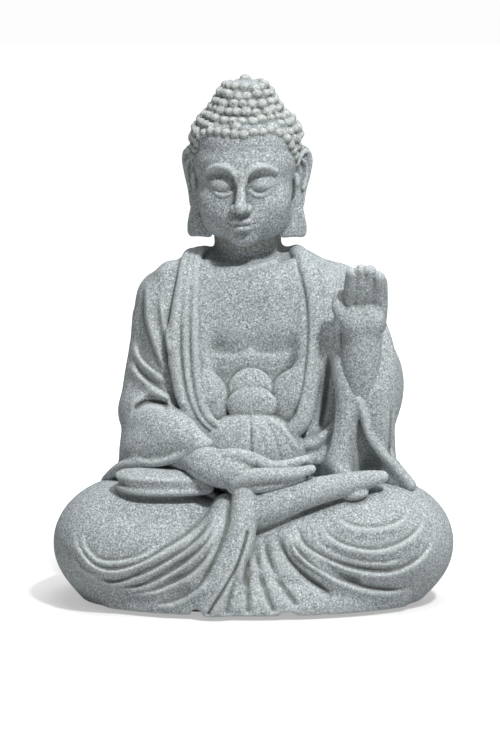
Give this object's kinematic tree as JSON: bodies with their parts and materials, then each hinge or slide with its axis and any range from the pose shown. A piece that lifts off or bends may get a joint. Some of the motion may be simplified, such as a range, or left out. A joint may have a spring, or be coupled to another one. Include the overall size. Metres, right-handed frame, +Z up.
{
  "type": "buddha statue",
  "caption": "Seated robed figure in cast stone resin, cross-legged, one hand raised and one in the lap, for display on a flat surface.",
  "frame": {"origin": "on the floor, at the middle of the footprint's box", "axes": "+X to the figure's left hand, +Y to its back, +Z up to the crown"},
  "size_m": [0.2284, 0.1294, 0.2999],
  "materials": {
    "stone_resin": "fine grey grain, matt",
    "dowel_steel": "drawn",
    "plaster": "rough cast",
    "fibreboard": "raw",
    "felt": "pressed felt"
  },
  "bodies": {
    "root": {"legs_casting": "stone_resin", "torso_casting": "stone_resin", "head_casting": "stone_resin", "left_hand_casting": "stone_resin", "right_hand_casting": "stone_resin", "neck_dowel": "dowel_steel", "waist_dowel_left": "dowel_steel", "waist_dowel_right": "dowel_steel", "left_wrist_pin": "dowel_steel", "right_wrist_pin": "dowel_steel", "ballast_core": "plaster", "base_plate": "fibreboard", "felt_pad_1": "felt", "felt_pad_2": "felt", "felt_pad_3": "felt", "felt_pad_4": "felt"}
  },
  "joints": []
}
